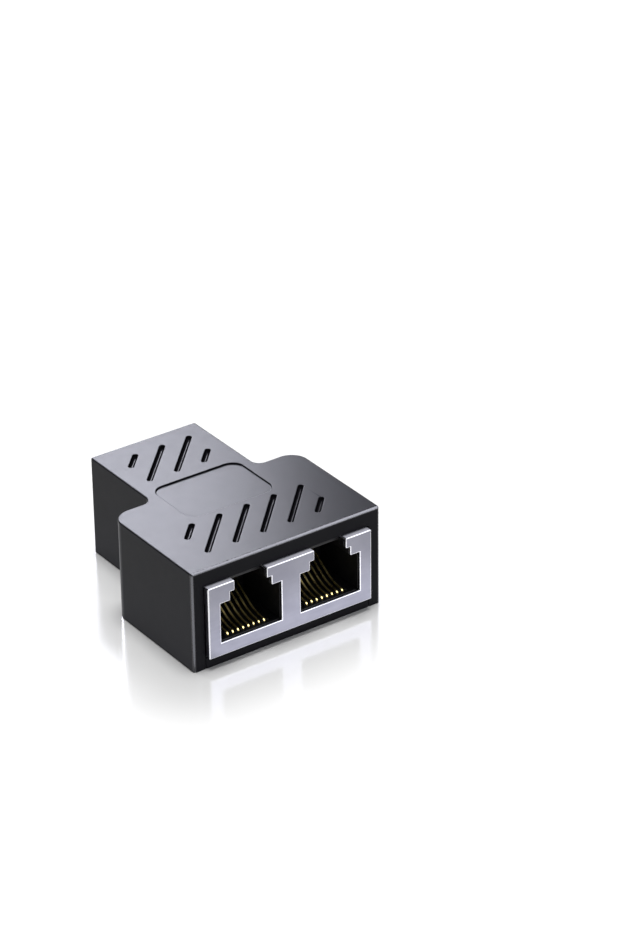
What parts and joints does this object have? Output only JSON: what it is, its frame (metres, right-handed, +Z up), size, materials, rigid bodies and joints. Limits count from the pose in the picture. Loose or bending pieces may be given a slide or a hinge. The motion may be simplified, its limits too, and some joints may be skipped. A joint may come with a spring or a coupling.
{
  "type": "ethernet cable splitter",
  "caption": "T-shaped in-line network splitter: a dark ribbed plastic housing with a pair of shielded sockets at the wide end and a single one at the neck.",
  "frame": {"origin": "centre of the underside of the whole splitter's bounding box", "axes": "+X across the pair of sockets, +Y from the pair towards the single socket, +Z up from the underside"},
  "size_m": [0.037, 0.0442, 0.0183],
  "materials": {
    "housing_plastic": "fine satin moulded ABS, charcoal",
    "shield_metal": "satin nickel-plated sheet",
    "socket_plastic": "black moulded polyester",
    "carrier_plastic": "black moulded polyester",
    "contact_gold": "gold-plated spring wire",
    "board_laminate": "green solder mask on glass laminate"
  },
  "bodies": {
    "root": {"base_cover": "housing_plastic", "circuit_board": "board_laminate", "contact_carrier_left": "carrier_plastic", "contact_carrier_right": "carrier_plastic", "contact_carrier_single": "carrier_plastic", "contact_left_1": "contact_gold", "contact_left_2": "contact_gold", "contact_left_3": "contact_gold", "contact_left_4": "contact_gold", "contact_left_5": "contact_gold", "contact_left_6": "contact_gold", "contact_left_7": "contact_gold", "contact_left_8": "contact_gold", "contact_right_1": "contact_gold", "contact_right_2": "contact_gold", "contact_right_3": "contact_gold", "contact_right_4": "contact_gold", "contact_right_5": "contact_gold", "contact_right_6": "contact_gold", "contact_right_7": "contact_gold", "contact_right_8": "contact_gold", "contact_single_1": "contact_gold", "contact_single_2": "contact_gold", "contact_single_3": "contact_gold", "contact_single_4": "contact_gold", "contact_single_5": "contact_gold", "contact_single_6": "contact_gold", "contact_single_7": "contact_gold", "contact_single_8": "contact_gold", "housing_shell": "housing_plastic", "single_port_shield": "shield_metal", "single_port_socket_block": "socket_plastic", "two_port_shield": "shield_metal", "two_port_socket_block": "socket_plastic"}
  },
  "joints": []
}
